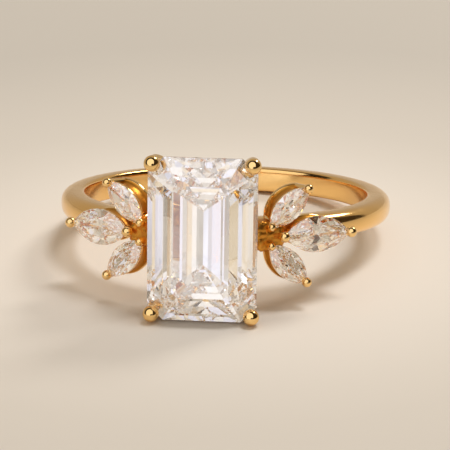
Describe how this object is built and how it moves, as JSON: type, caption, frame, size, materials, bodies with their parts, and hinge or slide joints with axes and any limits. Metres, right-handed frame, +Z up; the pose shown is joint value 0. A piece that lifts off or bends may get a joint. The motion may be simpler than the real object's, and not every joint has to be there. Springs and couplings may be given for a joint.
{
  "type": "engagement ring",
  "caption": "Yellow-gold engagement ring: emerald-cut stone in a claw head, a fan of marquise stones on each shoulder, plain domed band; it rests on its head and the back of the band.",
  "frame": {"origin": "centre of the footprint on the table that the ring rests on, at the lowest point of its lower claws and shank", "axes": "+Z up from the table, -Y towards the face of the centre stone, +X to the right of someone facing the stone; the finger axis leans back about 10 degrees from +Z"},
  "size_m": [0.0196, 0.0228, 0.0091],
  "materials": {
    "polished_gold": "mirror-polished yellow gold",
    "centre_stone": "faceted and polished, colourless, high refractive index",
    "side_stones": "faceted and polished, colourless, high refractive index"
  },
  "bodies": {
    "root": {"shank": "polished_gold", "centre_stone": "centre_stone", "head_seat_rail": "polished_gold", "head_base_rail": "polished_gold", "claw_upper_left": "polished_gold", "claw_upper_right": "polished_gold", "claw_lower_left": "polished_gold", "claw_lower_right": "polished_gold", "marquise_upper_left": "side_stones", "collet_upper_left": "polished_gold", "bead_claw_inner_upper_left": "polished_gold", "bead_claw_outer_upper_left": "polished_gold", "marquise_middle_left": "side_stones", "collet_middle_left": "polished_gold", "bead_claw_inner_middle_left": "polished_gold", "bead_claw_outer_middle_left": "polished_gold", "marquise_lower_left": "side_stones", "collet_lower_left": "polished_gold", "bead_claw_inner_lower_left": "polished_gold", "bead_claw_outer_lower_left": "polished_gold", "bridge_left": "polished_gold", "marquise_upper_right": "side_stones", "collet_upper_right": "polished_gold", "bead_claw_inner_upper_right": "polished_gold", "bead_claw_outer_upper_right": "polished_gold", "marquise_middle_right": "side_stones", "collet_middle_right": "polished_gold", "bead_claw_inner_middle_right": "polished_gold", "bead_claw_outer_middle_right": "polished_gold", "marquise_lower_right": "side_stones", "collet_lower_right": "polished_gold", "bead_claw_inner_lower_right": "polished_gold", "bead_claw_outer_lower_right": "polished_gold", "bridge_right": "polished_gold"}
  },
  "joints": []
}
